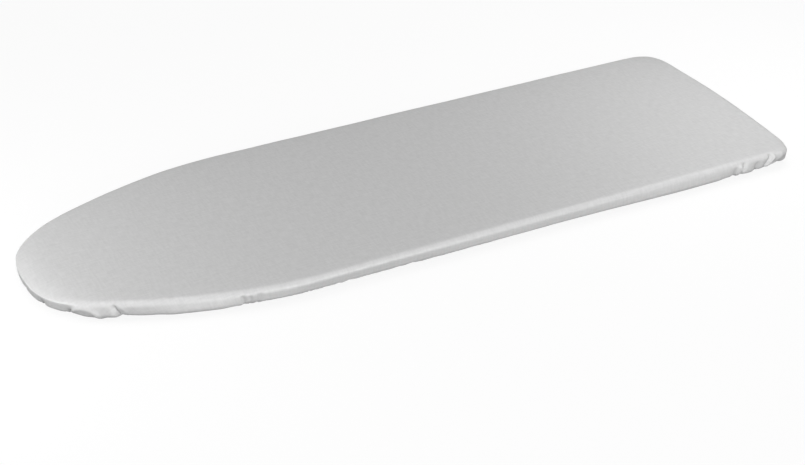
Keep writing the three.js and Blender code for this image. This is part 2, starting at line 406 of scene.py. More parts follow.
@dataclass
class Outline:
    """The cover's outline over the fabric, seen from above, and every outline inside it."""

    length: float
    width: float
    heel_bow: float = 9 * MM
    heel_round: float = 40 * MM
    hem_round: float = 70 * MM
    shoulder_from_nose: float = 313 * MM
    shoulder_round: float = 60 * MM
    nose_width: float = 250 * MM
    nose_ease: tuple[float, float] = (11 * MM, 59 * MM)
    skirt_turn: float = 52 * MM

    AREA_SAMPLES = 40
    NORMAL_REACH = 20 * MM

    def __post_init__(self) -> None:
        """Works out the stretches of one half, from the heel's middle to the nose's tip."""
        half_length, half_width = self.length / 2, self.width / 2
        heel_middle = Vector((half_length, 0))
        heel_corner = Vector((half_length - self.heel_bow, half_width))
        shoulder = Vector((self.shoulder_from_nose - half_length, half_width))
        nose_corner = Vector((-half_length, self.nose_width / 2))
        nose_tip = Vector((-half_length, 0))
        turn = (heel_corner - heel_middle).angle(shoulder - heel_corner)
        corner_reach = self.hem_round + self.skirt_turn * math.tan(turn / 2)
        heel_turn = Vector((half_length, (half_width - corner_reach) / 2))
        heel_reach = (heel_turn.y, (heel_corner - heel_turn).length - corner_reach)
        side = (heel_corner - shoulder).length
        side_reach = side - corner_reach - self.shoulder_round
        nose_reach = ((shoulder - nose_corner).length - self.shoulder_round, self.nose_width / 2)

        def heel_rounding(inset: float) -> tuple[float, float]:
            """The elastic rounds the heel's corners off more and more towards the hem."""
            size = self.heel_round + (self.hem_round - self.heel_round) * inset / self.skirt_turn
            return (size, size)

        side_middle = heel_corner.lerp(shoulder, (corner_reach + side_reach / 2) / side)
        half_side = (side_reach / 2, side_reach / 2)
        shoulder_reach = (self.shoulder_round, self.shoulder_round)
        self.stretches = [
            Corner(heel_middle, heel_turn, heel_corner, heel_reach, lambda _: heel_reach),
            Corner(heel_turn, heel_corner, shoulder, (corner_reach, corner_reach), heel_rounding),
            Corner(heel_corner, side_middle, shoulder, half_side, lambda _: half_side),
            Corner(heel_corner, shoulder, nose_corner, shoulder_reach, lambda _: shoulder_reach),
            Corner(shoulder, nose_corner, nose_tip, nose_reach, lambda _: nose_reach, self.nose_ease),
        ]
        self.path = lru_cache(maxsize=None)(self._path)
        self.lengths = [self.path(stretch, 0.0).length for stretch in range(len(self.stretches))]
        self.half_girth = sum(self.lengths)

    def _path(self, stretch: int, inset: float) -> Path:
        """One stretch at an inset."""
        return self.stretches[stretch].path(inset)

    def station(self, girth: float, side: Side) -> Station:
        """The station at a distance from the nose's tip.

        Args:
            girth: Distance along the edge.
            side: Which half.

        Returns:
            The station.
        """
        left = self.half_girth - girth
        for stretch, length in enumerate(self.lengths):
            if left <= length:
                return Station(stretch, max(left, 0.0) / length, side, girth)
            left -= length
        return Station(len(self.lengths) - 1, 1.0, side, girth)

    def point(self, place: Station, inset: float) -> Vector:
        """The point at a station and an inset, at no height."""
        flat = self.path(place.stretch, inset).at(place.along)
        return Vector((flat.x, flat.y * place.side.value, 0.0))

    def outwards(self, place: Station) -> Vector:
        """The level direction out of the cover at a station."""
        return (self.point(place, 0.0) - self.point(place, self.NORMAL_REACH)).normalized()

    def stations(self, steps: Sequence[int]) -> list[Station]:
        """The stations once round the cover, from the heel's middle along the near half and back.

        Args:
            steps: How many on each stretch of a half, from the heel to the nose.

        Returns:
            The stations.
        """
        half: list[float] = []
        done = 0.0
        for length, count in zip(self.lengths, steps):
            half += [self.half_girth - done - length * (k + 0.5) / count for k in range(count)]
            done += length
        near = [self.station(girth, Side.NEAR) for girth in half]
        far = [self.station(girth, Side.FAR) for girth in reversed(half)]
        return [*near, *far]

    def area(self, inset: float) -> float:
        """The area that the outline encloses at an inset, which is below 0 for a wider cut."""
        shares = [k / self.AREA_SAMPLES for k in range(self.AREA_SAMPLES + 1)]
        points = [self.path(k, inset).at(share) for k in range(len(self.stretches)) for share in shares]
        return abs(sum(a.x * b.y - b.x * a.y for a, b in zip(points, points[1:])))


# Section and folds

@dataclass(frozen=True)
class SectionPoint:
    """A point of the section through the edge, with the direction out of the cloth there."""

    inset: float
    height: float
    out: float
    up: float
    run: float


@dataclass
class Layers:
    """Thicknesses and heights of the cover's layers, and the section through its edge."""

    face_top: float
    # Height of the space that the cover closes round.
    hollow: float = 16 * MM
    gap: float = 0.3 * MM
    cloth: float = 0.5 * MM
    cad_cloth: float = 0.8 * MM
    top_roll: float = 8 * MM
    bottom_roll: float = 7 * MM
    raw_edge: float = 44.5 * MM
    casing_half: float = 1.0 * MM
    tape: float = 0.5 * MM
    felt: float = 2.5 * MM
    felt_inset: float = 3.9 * MM
    felt_corner: float = 0.7 * MM
    pad_clearance: float = 1.3 * MM
    margin: Sequence[float] = tuple(x * MM for x in (58, 40, 27, 17, 11))
    roll_steps: int = 8
    wall_steps: int = 6
    flange_steps: int = 12

    @property
    def underside(self) -> float:
        """Height of the skirt's outer surface where it lies turned under."""
        return -(self.hollow + self.gap + self.cad_cloth)

    @property
    def hem_middle(self) -> float:
        """Height of the middle of the hem where it isn't gathered."""
        return -(self.hollow + self.gap + self.tape + self.casing_half)

    @property
    def wall_run(self) -> float:
        """Length of the section from the start of the top roll to the upright wall."""
        return self.top_roll * math.pi / 2

    @property
    def wall(self) -> float:
        """Height of the upright wall between the two rolls."""
        return self.face_top - self.top_roll - (self.underside + self.bottom_roll)

    @property
    def side_run(self) -> float:
        """Length of the section from the start of the top roll to the lower roll."""
        return self.wall_run + self.wall

    @property
    def flange_run(self) -> float:
        """Length of the section from the start of the top roll to the end of the lower roll."""
        return self.side_run + self.bottom_roll * math.pi / 2

    @property
    def hem_run(self) -> float:
        """Length of the section from the start of the top roll to the raw edge."""
        return self.flange_run + self.raw_edge - self.bottom_roll

    def run_at(self, drop: float) -> float:
        """The run at a drop below the ironing face, which goes on along the underside past the lower roll."""
        if drop <= self.top_roll:
            return self.top_roll * math.acos(1 - drop / self.top_roll)
        below = drop - self.top_roll - self.wall
        if below <= 0:
            return self.side_run + below
        if below <= self.bottom_roll:
            return self.side_run + self.bottom_roll * math.asin(below / self.bottom_roll)
        return self.flange_run + below - self.bottom_roll

    def foam_edge(self) -> list[SectionPoint]:
        """The foam's edge under the roll, from its lower face to the flat of its upper face."""
        base = self.felt + self.gap
        roll, centre = self.top_roll - self.pad_clearance, self.face_top - self.top_roll
        first = math.asin((base - centre) / roll)
        rows = []
        for step in range(self.roll_steps + 1):
            turn = first + (math.pi / 2 - first) * step / self.roll_steps
            out, up = math.cos(turn), math.sin(turn)
            run = self.top_roll * (math.pi / 2 - turn)
            rows.append(SectionPoint(self.top_roll - roll * out, centre + roll * up, out, up, run))
        top = centre + roll
        return rows + [SectionPoint(i, top, 0, 1, self.top_roll - i) for i in reversed(self.margin)]

    def felt_edge(self) -> list[SectionPoint]:
        """The felt's edge from its lower face to its upper face, with softened corners."""
        soft, inset = self.felt_corner, self.felt_inset
        low = [(inset + soft, 0.0), (inset + 0.3 * soft, 0.3 * soft), (inset, soft)]
        edge = [*low, *((i, self.felt - height) for i, height in reversed(low))]
        return [SectionPoint(i, height, 1, 0, self.run_at(self.face_top - height)) for i, height in edge]

    def section(self) -> list[SectionPoint]:
        """The section from the flat face to the raw edge.

        Returns:
            Its points, whose run is 0 where the top roll starts.
        """
        rows = [SectionPoint(i, self.face_top, 0, 1, self.top_roll - i) for i in self.margin]
        for step in range(self.roll_steps + 1):
            turn = math.pi / 2 * step / self.roll_steps
            out, up = math.sin(turn), math.cos(turn)
            inset = self.top_roll * (1 - out)
            height = self.face_top - self.top_roll * (1 - up)
            rows.append(SectionPoint(inset, height, out, up, self.top_roll * turn))
        for step in range(1, self.wall_steps):
            down = self.wall * step / self.wall_steps
            height = self.face_top - self.top_roll - down
            rows.append(SectionPoint(0, height, 1, 0, self.wall_run + down))
        for step in range(self.roll_steps + 1):
            turn = math.pi / 2 * step / self.roll_steps
            out, down = math.cos(turn), math.sin(turn)
            inset = self.bottom_roll * (1 - out)
            height = self.underside + self.bottom_roll * (1 - down)
            rows.append(SectionPoint(inset, height, out, -down, self.side_run + self.bottom_roll * turn))
        hem_height = self.hem_middle - self.cloth / 2
        for step in range(1, self.flange_steps + 1):
            share = step / self.flange_steps
            inset = self.bottom_roll + (self.raw_edge - self.bottom_roll) * share
            height = self.underside + (hem_height - self.underside) * share
            rows.append(SectionPoint(inset, height, 0, -1, self.flange_run + inset - self.bottom_roll))
        return rows


@dataclass(frozen=True)
class Fold:
    """A line on the skirt where the cloth is creased in, or stands up in a crest.

    Its ends are places on the unrolled skirt: the girth, and the run down the section. Its height is
    below 0 for a crease, and it bows up towards the face by its bow.
    """

    side: Side
    start: Vector
    end: Vector
    height: float
    width: float
    bow: float = 0.0

    SHARPNESS = 1.4
    SPREAD = 4
    END_FADE = 1.3

    def reaches(self, girth: float) -> bool:
        """Whether the fold comes near a girth."""
        low, high = sorted((self.start.x, self.end.x))
        spread = self.SPREAD * self.width
        return low - spread < girth < high + spread

    def stand(self, girth: float, run: float) -> float:
        """How far the fold moves the cloth out.

        Args:
            girth: Distance along the edge from the nose's tip.
            run: Distance down the section.

        Returns:
            The distance, below 0 inwards.
        """
        line = self.end - self.start
        off = Vector((girth, run)) - self.start
        along = off.dot(line) / line.length
        share = min(max(along / line.length, 0.0), 1.0)
        across = off.cross(line) / line.length - self.bow * 4 * share * (1 - share)
        soft = self.END_FADE * self.width
        fade = smooth_step(-soft, soft, along) * smooth_step(line.length + soft, line.length - soft, along)
        return self.height * fade * math.exp(-((abs(across) / self.width) ** self.SHARPNESS))


@dataclass(frozen=True)
class Pouch:
    """A stretch of skirt that swells between two creases, or is drawn in where its swell is below 0."""

    side: Side
    start: float
    end: float
    swell: float
    ease: tuple[float, float]

    def stand(self, girth: float) -> float:
        """How far it moves the lower edge of the skirt out at a girth."""
        rise = smooth_step(self.start, self.start + self.ease[0], girth)
        return self.swell * rise * smooth_step(self.end, self.end - self.ease[1], girth)


@dataclass
class Gathers:
    """How the skirt is gathered: its folds, its fine wrinkles and the waves of its hem."""

    outline: Outline
    layers: Layers
    folds: Sequence[Fold]
    pouches: Sequence[Pouch]
    hem_drop: float = 4.2 * MM
    # Shares of the fine and the broad wave in the hem, and how far and how flat it lies at the threading gap.
    hem_waves: tuple[float, float] = (0.62, 0.38)
    gap_reach: float = 40 * MM
    gap_drop: float = 0.15
    tight_wave: float = 12 * MM
    loose_wave: float = 22 * MM
    draw_in: float = 2.2 * MM
    wall_swell: float = 1.2 * MM
    edge_fall: float = 0.7 * MM
    nose_fall: float = 6.5 * MM
    fall_reach: float = 36 * MM
    broad_gather: float = 3.0 * MM
    middle_gather: float = 2.2 * MM
    gather_middle: float = 0.4
    hem_ease: float = 1.4
    # How much of a fold is lost by the time it reaches the hem.
    fold_loss: float = 0.6
    deepest: float = 5.5 * MM
    wander: float = 0.5 * MM
    wander_wave: float = 70 * MM
    swing_wave: float = 60 * MM
    # Girths over which the elastic's pull comes and goes, and the nose's fall comes.
    nose_pull: tuple[float, float] = (330 * MM, 210 * MM)
    corner_pull: tuple[float, float] = (1120 * MM, 1190 * MM)
    corner_end: tuple[float, float] = (1430 * MM, 1370 * MM)
    fall_girths: tuple[float, float] = (170 * MM, 60 * MM)
    shoulder: float = 360 * MM
    shoulder_width: float = 45 * MM
    shoulder_pull: float = 0.5
    # How strongly the elastic pulls where nothing makes it tight.
    slack: float = 0.3

    def tightness(self, place: Station) -> float:
        """How strongly the elastic gathers the hem at a station, from about 0.3 to 1."""
        nose = smooth_step(*self.nose_pull, place.girth)
        corner = smooth_step(*self.corner_pull, place.girth) * smooth_step(*self.corner_end, place.girth)
        off = (place.girth - self.shoulder) / self.shoulder_width
        shoulder = self.shoulder_pull * math.exp(-(off ** 2))
        swing = 0.85 + 0.3 * steady_noise(place.girth, self.swing_wave, Seed.PULL.value * place.side.value)
        return (self.slack + (1 - self.slack) * max(nose, corner, shoulder)) * swing

    def ripple(self, place: Station, wave: float, seed: Seed) -> float:
        """A wave round the hem whose pitch wanders.

        Args:
            place: The station.
            wave: Mean length of one wave.
            seed: Its line.

        Returns:
            From 0 at a valley to 1 at a crest.
        """
        line = seed.value * place.side.value
        wander = 0.9 * wave * steady_noise(place.girth, 2.6 * wave, line) + 0.2 * wave * line
        return 0.5 + 0.5 * math.cos(2 * math.pi * (place.girth + wander) / wave)

    def hem(self, place: Station) -> float:
        """How far the hem hangs down at a station."""
        quiet = smooth_step(0, self.gap_reach, self.outline.half_girth - place.girth)
        fine = self.ripple(place, self.tight_wave, Seed.FINE)
        broad = self.ripple(place, self.loose_wave * 2, Seed.BROAD)
        share = (self.hem_waves[0] * fine + self.hem_waves[1] * broad) * self.tightness(place)
        return self.hem_drop * min(share, 1.0) * (self.gap_drop + (1 - self.gap_drop) * quiet)

    def sunk(self, place: Station, inset: float, height: float) -> float:
        """The height of a layer, which is drawn thin towards the edge, most of all at the nose.

        Args:
            place: The station.
            inset: Distance in from the edge.
            height: The layer's height where it lies flat.

        Returns:
            Its height there.
        """
        nose = smooth_step(*self.fall_girths, place.girth)
        fall = self.edge_fall + (self.nose_fall - self.edge_fall) * nose
        share = max(1 - inset / self.fall_reach, 0.0) ** 2
        return height * (1 - fall * share / self.layers.face_top) if height > 0 else height

    def fold(self, place: Station, run: float) -> float:
        """How far the cloth stands out of its smooth section.

        Args:
            place: The station.
            run: Distance down the section from the start of the top roll.

        Returns:
            The distance along the section's outward direction, less than 0 inwards.
        """
        layers, girth = self.layers, place.girth
        # The pouches and the folds are fullest at the skirt's lower edge and flatten towards the hem.
        low = smooth_step(6 * MM, layers.side_run + 4 * MM, run)
        to_hem = smooth_step(layers.flange_run - 4 * MM, layers.hem_run - 2 * MM, run)
        swell = sum(pouch.stand(girth) for pouch in self.pouches if pouch.side is place.side) - self.draw_in
        total = swell * low * (1 - to_hem)
        for fold in self.folds:
            if fold.side is place.side and fold.reaches(girth):
                total += fold.stand(girth, run) * (1 - self.fold_loss * to_hem)
        # The pad's edge swells the wall, and its height wanders a little along the edge.
        wall = min(max((run - 4 * MM) / (layers.flange_run - 6 * MM), 0.0), 1.0)
        total += self.wall_swell * math.sin(math.pi * wall)
        wander = self.wander * steady_noise(girth, self.wander_wave, Seed.WALL.value * place.side.value)
        total += wander * smooth_step(-30 * MM, 14 * MM, run) * (1 - to_hem)
        # Under the edge the gathers run into the hem's own waves.
        flange = smooth_step(layers.side_run + 8 * MM, layers.hem_run, run)
        waist = math.sin(math.pi * flange)
        broad = self.ripple(place, self.loose_wave * 2, Seed.BROAD) - self.gather_middle
        middle = self.ripple(place, self.loose_wave, Seed.MIDDLE) - self.gather_middle
        gather = self.broad_gather * broad + self.middle_gather * middle
        total += gather * waist * self.tightness(place)
        total += self.hem(place) * flange ** self.hem_ease
        return total if total > 0 else self.deepest * math.tanh(total / self.deepest)


# Meshes

def new_piece(
    name: str, bm: bmesh.types.BMesh, material: bpy.types.Material | None = None, smooth: bool = True
) -> bpy.types.Object:
    """Turns a bmesh into an object of the scene.

    Args:
        name: The piece's name.
        bm: Its mesh, which is freed.
        material: Its finish, where it is seen.
        smooth: Whether its faces are shaded smooth.

    Returns:
        The object, at the origin.
    """
    mesh = bpy.data.meshes.new(name)
    for face in bm.faces:
        face.smooth = smooth
    bm.to_mesh(mesh)
    bm.free()
    if material:
        mesh.materials.append(material)
    piece = bpy.data.objects.new(name, mesh)
    bpy.context.scene.collection.objects.link(piece)
    return piece


def ring_sheet(bm: bmesh.types.BMesh, rings: int, around: int) -> list[list[bmesh.types.BMVert]]:
    """Makes a sheet of faces between closed rings of vertices, which are put in their places afterwards.

    Args:
        bm: The mesh.
        rings: How many rings.
        around: How many vertices in each ring.

    Returns:
        The rings.
    """
    grid = bmesh.ops.create_grid(bm, x_segments=around, y_segments=rings - 1, size=0.5)["verts"]
    grid.sort(key=lambda vert: (vert.co.y, vert.co.x))
    rows = [grid[k * (around + 1):(k + 1) * (around + 1)] for k in range(rings)]
    bmesh.ops.weld_verts(bm, targetmap={row[-1]: row[0] for row in rows})
    return [row[:-1] for row in rows]


def cut_in_squares(bm: bmesh.types.BMesh, face: bmesh.types.BMFace, size: float) -> None:
    """Cuts a large level face into squares.

    Args:
        bm: The mesh.
        face: The face.
        size: The squares' size.
    """
    geom = [face, *face.edges, *face.verts]
    for axis in (Vector((1, 0, 0)), Vector((0, 1, 0))):
        reaches = [vert.co.dot(axis) for vert in face.verts]
        low, high = min(reaches), max(reaches)
        cuts = int((high - low) / size)
        places = [low + (high - low) * cut / cuts for cut in range(1, cuts)]
        for place in places:
            geom = bmesh.ops.bisect_plane(bm, geom=geom, plane_co=axis * place, plane_no=axis)["geom"]
        face = next(part for part in geom if isinstance(part, bmesh.types.BMFace))


@dataclass
class SkirtDrape:
    """A cloth simulation in which the skirt settles under the edge, between its wall and its hem.

    The skirt is cut to hang straight down from the edge. That is too long for the hem round the nose and
    the corners, so that it buckles into gathers there.
    """

    outline: Outline
    layers: Layers
    frames: int = 20
    quality: int = 6
    # The mass of one vertex, kept low so that the short springs between them aren't drawn out by it.
    vertex_mass: float = 0.001
    stretch: float = 15.0
    shear: float = 5.0
    bend: float = 0.05
    clearance: float = 1 * MM
    sewn: float = 4.6 * MM
    # How far the strip goes up the wall, and where its hold fades, before and past the lower roll's end.
    lead_in: float = 3 * MM
    firm_before: float = 1 * MM
    loose_past: float = 5 * MM
    # The elastic draws the real skirt taut, so that it hardly sags.
    weight: float = 0.25
    form_inset: float = 9 * MM
    form_steps: Sequence[int] = (8, 30, 30, 10, 50)

    def form(self) -> bpy.types.Object:
        """Makes the hard form that the cover is drawn over, which the skirt can't pass.

        Returns:
            The form.
        """
        places = self.outline.stations(self.form_steps)
        bm = bmesh.new()
        rings = ring_sheet(bm, 2, len(places))
        for ring, height in zip(rings, (self.clearance - self.layers.hollow, 0.0)):
            for vert, place in zip(ring, places):
                vert.co = self.outline.point(place, self.form_inset) + UP * height
            bmesh.ops.contextual_create(bm, geom=ring)
        bmesh.ops.recalc_face_normals(bm, faces=bm.faces)
        form = new_piece("form", bm)
        form.modifiers.new("collision", "COLLISION")
        form.collision.thickness_outer = self.clearance
        return form

    def hold(self, run: float) -> float:
        """How firmly the cloth is held at a run, from 0 to 1: fully on the wall and in the hem's seam."""
        if run > self.layers.hem_run - self.sewn:
            return 1.0
        turned = self.layers.flange_run
        return smooth_step(turned + self.loose_past, turned - self.firm_before, run)

    def strip(self, bm: bmesh.types.BMesh) -> bpy.types.Object:
        """Copies the part of the sheet below its wall, with its cut as the shape that it wants to take.

        Args:
            bm: The sheet, whose vertices know their number, run and cut.

        Returns:
            The strip, held at both edges.
        """
        copy = bm.copy()
        run = copy.verts.layers.float["run"]
        first = self.layers.side_run - self.lead_in
        bmesh.ops.delete(copy, geom=[vert for vert in copy.verts if vert[run] < first], context="VERTS")
        piece = new_piece("strip", copy)
        runs = [mark.value for mark in piece.data.attributes["run"].data]
        cuts = [mark.vector.copy() for mark in piece.data.attributes["cut"].data]
        held = piece.vertex_groups.new(name="held")
        piece.shape_key_add(name="fitted")
        cut = piece.shape_key_add(name="cut")
        for number, place in enumerate(cut.data):
            held.add([number], self.hold(runs[number]), "REPLACE")
            place.co = cuts[number]
        cloth = piece.modifiers.new("drape", "CLOTH")
        cloth.point_cache.frame_end = self.frames
        cloth.collision_settings.distance_min = self.clearance
        settings = cloth.settings
        settings.quality = self.quality
        settings.mass = self.vertex_mass
        settings.tension_stiffness = settings.compression_stiffness = self.stretch
        settings.shear_stiffness = self.shear
        settings.bending_stiffness = self.bend
        settings.vertex_group_mass = held.name
        settings.effector_weights.gravity = self.weight
        settings.rest_shape_key = cut
        return piece

    def settle(self, bm: bmesh.types.BMesh) -> None:
        """Runs the simulation and moves the sheet's vertices to where it ends.

        Args:
            bm: The sheet, whose vertices know their number, run and cut.
        """
        form, strip = self.form(), self.strip(bm)
        for step in range(1, self.frames + 1):
            bpy.context.scene.frame_set(step)
        settled = strip.evaluated_get(bpy.context.evaluated_depsgraph_get()).data
        bm.verts.ensure_lookup_table()
        most = 0.0
        for vert, number in zip(settled.vertices, strip.data.attributes["number"].data):
            most = max(most, (vert.co - bm.verts[number.value].co).length)
            bm.verts[number.value].co = vert.co
        LOG.info("the skirt settled in %d frames and moved by %.1f mm at most", self.frames, most / MM)
        for piece in (form, strip):
            bpy.data.meshes.remove(piece.data)
        bpy.context.scene.frame_set(1)


@dataclass
class CoverCloth:
    """The sheet of face fabric: ironing face, rolled edge and gathered skirt."""

    outline: Outline
    layers: Layers
    gathers: Gathers
    finish: MetallisedCotton
    steps: Sequence[int]
    square: float = 14 * MM

    def build(self) -> bpy.types.Object:
        """Builds the sheet: rings of the section round a flat middle.

        Returns:
            The cover's cloth.
        """
        outline, gathers = self.outline, self.gathers
        places = outline.stations(self.steps)
        outs = [outline.outwards(place) for place in places]
        roll = [outline.point(place, self.layers.top_roll) for place in places]
        bm = bmesh.new()
        marks = bm.verts.layers
        for kind, name in ((marks.float_vector, "flat"), (marks.float_vector, "cut"), (marks.float, "run")):
            kind.new(name)
        number = marks.int.new("number")
        flat, cut, run = marks.float_vector["flat"], marks.float_vector["cut"], marks.float["run"]
        rows = self.layers.section()
        rings = ring_sheet(bm, len(rows), len(places))
        for row, ring in zip(rows, rings):
            for vert, place, out, edge in zip(ring, places, outs, roll):
                stand = gathers.fold(place, row.run)
                base = outline.point(place, row.inset) + UP * gathers.sunk(place, row.inset, row.height)
                vert.co = base + (out * row.out + UP * row.up) * stand
                vert[flat] = edge + out * row.run if row.run > 0 else base
                vert[cut] = outline.point(place, 0.0) - UP * row.run
                vert[run] = row.run
        for index, vert in enumerate(bm.verts):
            vert[number] = index
        SkirtDrape(outline, self.layers).settle(bm)
        cap = bmesh.ops.contextual_create(bm, geom=rings[0])["faces"][0]
        cut_in_squares(bm, cap, self.square)
        bmesh.ops.recalc_face_normals(bm, faces=bm.faces)
        uv = bm.loops.layers.uv.new(self.finish.flat_map)
        for face in bm.faces:
            for loop in face.loops:
                loop[uv].uv = loop.vert[flat].xy
        piece = new_piece("cover_cloth", bm, self.finish.build())
        for name in ("flat", "cut", "run", "number"):
            piece.data.attributes.remove(piece.data.attributes[name])
        solid = piece.modifiers.new("cloth_thickness", "SOLIDIFY")
        solid.thickness = self.layers.cloth
        solid.offset = -1
        return piece


@dataclass
class PadSheet:
    """A flat sheet of the pad with a rounded edge, which the skirt's creases draw in."""

    name: str
    outline: Outline
    gathers: Gathers
    finish: FibreFinish
    edge: Sequence[SectionPoint]
    steps: Sequence[int]
    square: float
    unevenness: float
    # How much earlier than the cloth over it the sheet sinks to its edge, which keeps the two apart.
    lead: float = 3 * MM
    swell_wave: float = 45 * MM

    def build(self) -> bpy.types.Object:
        """Builds the sheet: its lower face, rings up its edge and its upper face.

        Returns:
            The sheet.
        """
        outline = self.outline
        places = outline.stations(self.steps)
        outs = [outline.outwards(place) for place in places]
        bm = bmesh.new()
        rings = ring_sheet(bm, len(self.edge), len(places))
        for row, ring in zip(self.edge, rings):
            for vert, place, out in zip(ring, places, outs):
                drawn_in = max(0.0, -self.gathers.fold(place, row.run))
                height = self.gathers.sunk(place, row.inset - self.lead, row.height)
                base = outline.point(place, row.inset) + UP * height
                vert.co = base - (out * row.out + UP * row.up) * drawn_in
        for ring in (rings[0], rings[-1]):
            cap = bmesh.ops.contextual_create(bm, geom=ring)["faces"][0]
            cut_in_squares(bm, cap, self.square)
        bmesh.ops.recalc_face_normals(bm, faces=bm.faces)
        bm.normal_update()
        for vert in bm.verts:
            swell = 0.5 + 0.5 * noise.noise(Vector((vert.co.x, vert.co.y, 0)) / self.swell_wave)
            vert.co.z += self.unevenness * swell * (1 if vert.normal.z < 0 else -1)
        return new_piece(self.name, bm, self.finish.build())


@dataclass
class HemBinding:
    """A tape folded over the skirt's raw edge and the elastic, and shirred by the elastic's pull."""

    outline: Outline
    layers: Layers
    gathers: Gathers
    finish: FibreFinish
    fold: float = 52 * MM
    mouth: float = 40 * MM
    half_height: float = 1.2 * MM
    fold_depth: float = 2.2 * MM
    threading_gap: float = 34 * MM
    step: float = 1.7 * MM
    pucker_wave: float = 6.5 * MM
    pucker: float = 0.45 * MM
    pucker_middle: float = 0.6
    # The pucker starts past the seam, and the lip has a little of it.
    tunnel: tuple[float, float] = (2 * MM, 5 * MM)
    lip_width: float = 1.5 * MM
    lip_share: float = 0.35
    straight_points: int = 5
    fold_points: int = 7

    def section(self) -> list[tuple[float, float]]:
        """The tape's section from its upper lip round the fold to its lower lip, as insets and heights."""
        straight = self.fold - self.fold_depth - self.mouth
        lip = [self.mouth + straight * k / self.straight_points for k in range(self.straight_points)]
        upper = [(inset, self.half_height) for inset in lip]
        turn = []
        for k in range(self.fold_points):
            angle = math.pi * k / (self.fold_points - 1)
            inset = self.fold - self.fold_depth * (1 - math.sin(angle))
            turn.append((inset, self.half_height * math.cos(angle)))
        return [*upper, *turn, *((inset, -height) for inset, height in reversed(upper))]

    def girths(self) -> list[float]:
        """Where the tape is drawn along one half, from the threading gap to the nose."""
        reach = self.outline.half_girth - self.threading_gap / 2
        count = int(reach / self.step)
        return [reach * (1 - k / count) for k in range(count)]

    def places(self) -> list[Station]:
        """The stations from one end of the tape to the other."""
        half = self.girths()
        near = [self.outline.station(girth, Side.NEAR) for girth in half]
        far = [self.outline.station(girth, Side.FAR) for girth in reversed(half)]
        return [*near, self.outline.station(0.0, Side.FAR), *far]

    def shirring(self, place: Station, inset: float) -> float:
        """How far the tape puckers out at a station and an inset."""
        tunnel = smooth_step(self.mouth + self.tunnel[0], self.mouth + self.tunnel[1], inset)
        lip = self.lip_share * smooth_step(self.mouth + self.lip_width, self.mouth, inset)
        wave = self.gathers.ripple(place, self.pucker_wave, Seed.PUCKER) - self.pucker_middle
        return self.pucker * wave * (tunnel + lip) * (0.5 + 0.5 * self.gathers.tightness(place))

    def point(self, place: Station, inset: float, up: float) -> Vector:
        """A point of the hem at a station, an inset and a height over its middle."""
        height = self.layers.hem_middle - self.gathers.hem(place) + up
        return self.outline.point(place, inset) + UP * height

    def build(self) -> bpy.types.Object:
        """Builds the folded tape on a grid: along the hem one way, round its section the other.

        Returns:
            The binding.
        """
        places, section = self.places(), self.section()
        along, round_it = len(places) - 1, len(section) - 1
        bm = bmesh.new()
        grid = bmesh.ops.create_grid(bm, x_segments=along, y_segments=round_it, size=0.5)["verts"]
        for vert in grid:
            place = places[round((vert.co.x + 0.5) * along)]
            inset, up = section[round((vert.co.y + 0.5) * round_it)]
            grow = 1 + self.shirring(place, inset) / self.half_height
            vert.co = self.point(place, inset, up * grow)
        bmesh.ops.recalc_face_normals(bm, faces=bm.faces)
        piece = new_piece("hem_binding_tape", bm, self.finish.build())
        solid = piece.modifiers.new("tape_thickness", "SOLIDIFY")
        solid.thickness = self.layers.tape
        solid.offset = 0
        return piece


@dataclass
class HemElastic:
    """A flat braided elastic that runs once round the hem, its ends lapped at the threading gap."""

    binding: HemBinding
    finish: FibreFinish
    width: float = 6 * MM
    thickness: float = 1 * MM
    inner: float = 51 * MM
    lap: float = 24 * MM
    lap_gap: float = 0.15 * MM
    ribs: int = 7
    groove: float = 0.45
    step: float = 4 * MM
    weld: float = 0.01 * MM

    def section(self) -> list[tuple[float, float]]:
        """The ribbed section, once round, as insets and heights."""
        across = 2 * self.ribs
        face = []
        for k in range(across + 1):
            share = k / across
            rib = 0.5 + 0.5 * math.cos(2 * math.pi * share * self.ribs + math.pi)
            height = self.thickness / 2 * (self.groove + (1 - self.groove) * rib)
            face.append((self.inner - self.width * (1 - share), height))
        return [*face, *((inset, -height) for inset, height in reversed(face))]

    def route(self) -> list[tuple[Station, float]]:
        """The stations once round the hem, past each other at the lap, with heights over its middle."""
        outline = self.binding.outline
        count = int(outline.half_girth / self.step)
        half = [outline.half_girth * (1 - k / count) for k in range(count + 1)]
        over = outline.half_girth - self.lap / 2
        shift = self.thickness / 2 + self.lap_gap
        start = [(outline.station(over, Side.FAR), -shift)]
        near = [(outline.station(g, Side.NEAR), g) for g in half]
        far = [(outline.station(g, Side.FAR), g) for g in reversed(half[:-1])]
        end = [(outline.station(over, Side.NEAR), shift)]

        def lift(girth: float, sign: int) -> float:
            """Eases an end off the other one over the length of the lap."""
            return sign * shift * smooth_step(over - 2 * self.lap, over, girth)

        around = [(place, lift(g, -1)) for place, g in near] + [(place, lift(g, 1)) for place, g in far]
        return [*start, *around, *end]

    def build(self) -> bpy.types.Object:
        """Builds the elastic on a grid that is closed round its section and capped at its ends.

        Returns:
            The elastic.
        """
        route, section = self.route(), self.section()
        section.append(section[0])
        along, round_it = len(route) - 1, len(section) - 1
        bm = bmesh.new()
        grid = bmesh.ops.create_grid(bm, x_segments=along, y_segments=round_it, size=0.5)["verts"]
        for vert in grid:
            place, shift = route[round((vert.co.x + 0.5) * along)]
            inset, up = section[round((vert.co.y + 0.5) * round_it)]
            vert.co = self.binding.point(place, inset, up + shift)
        bmesh.ops.remove_doubles(bm, verts=bm.verts, dist=self.weld)
        bmesh.ops.holes_fill(bm, edges=[edge for edge in bm.edges if edge.is_boundary])
        bmesh.ops.recalc_face_normals(bm, faces=bm.faces)
        return new_piece("hem_elastic_band", bm, self.finish.build())


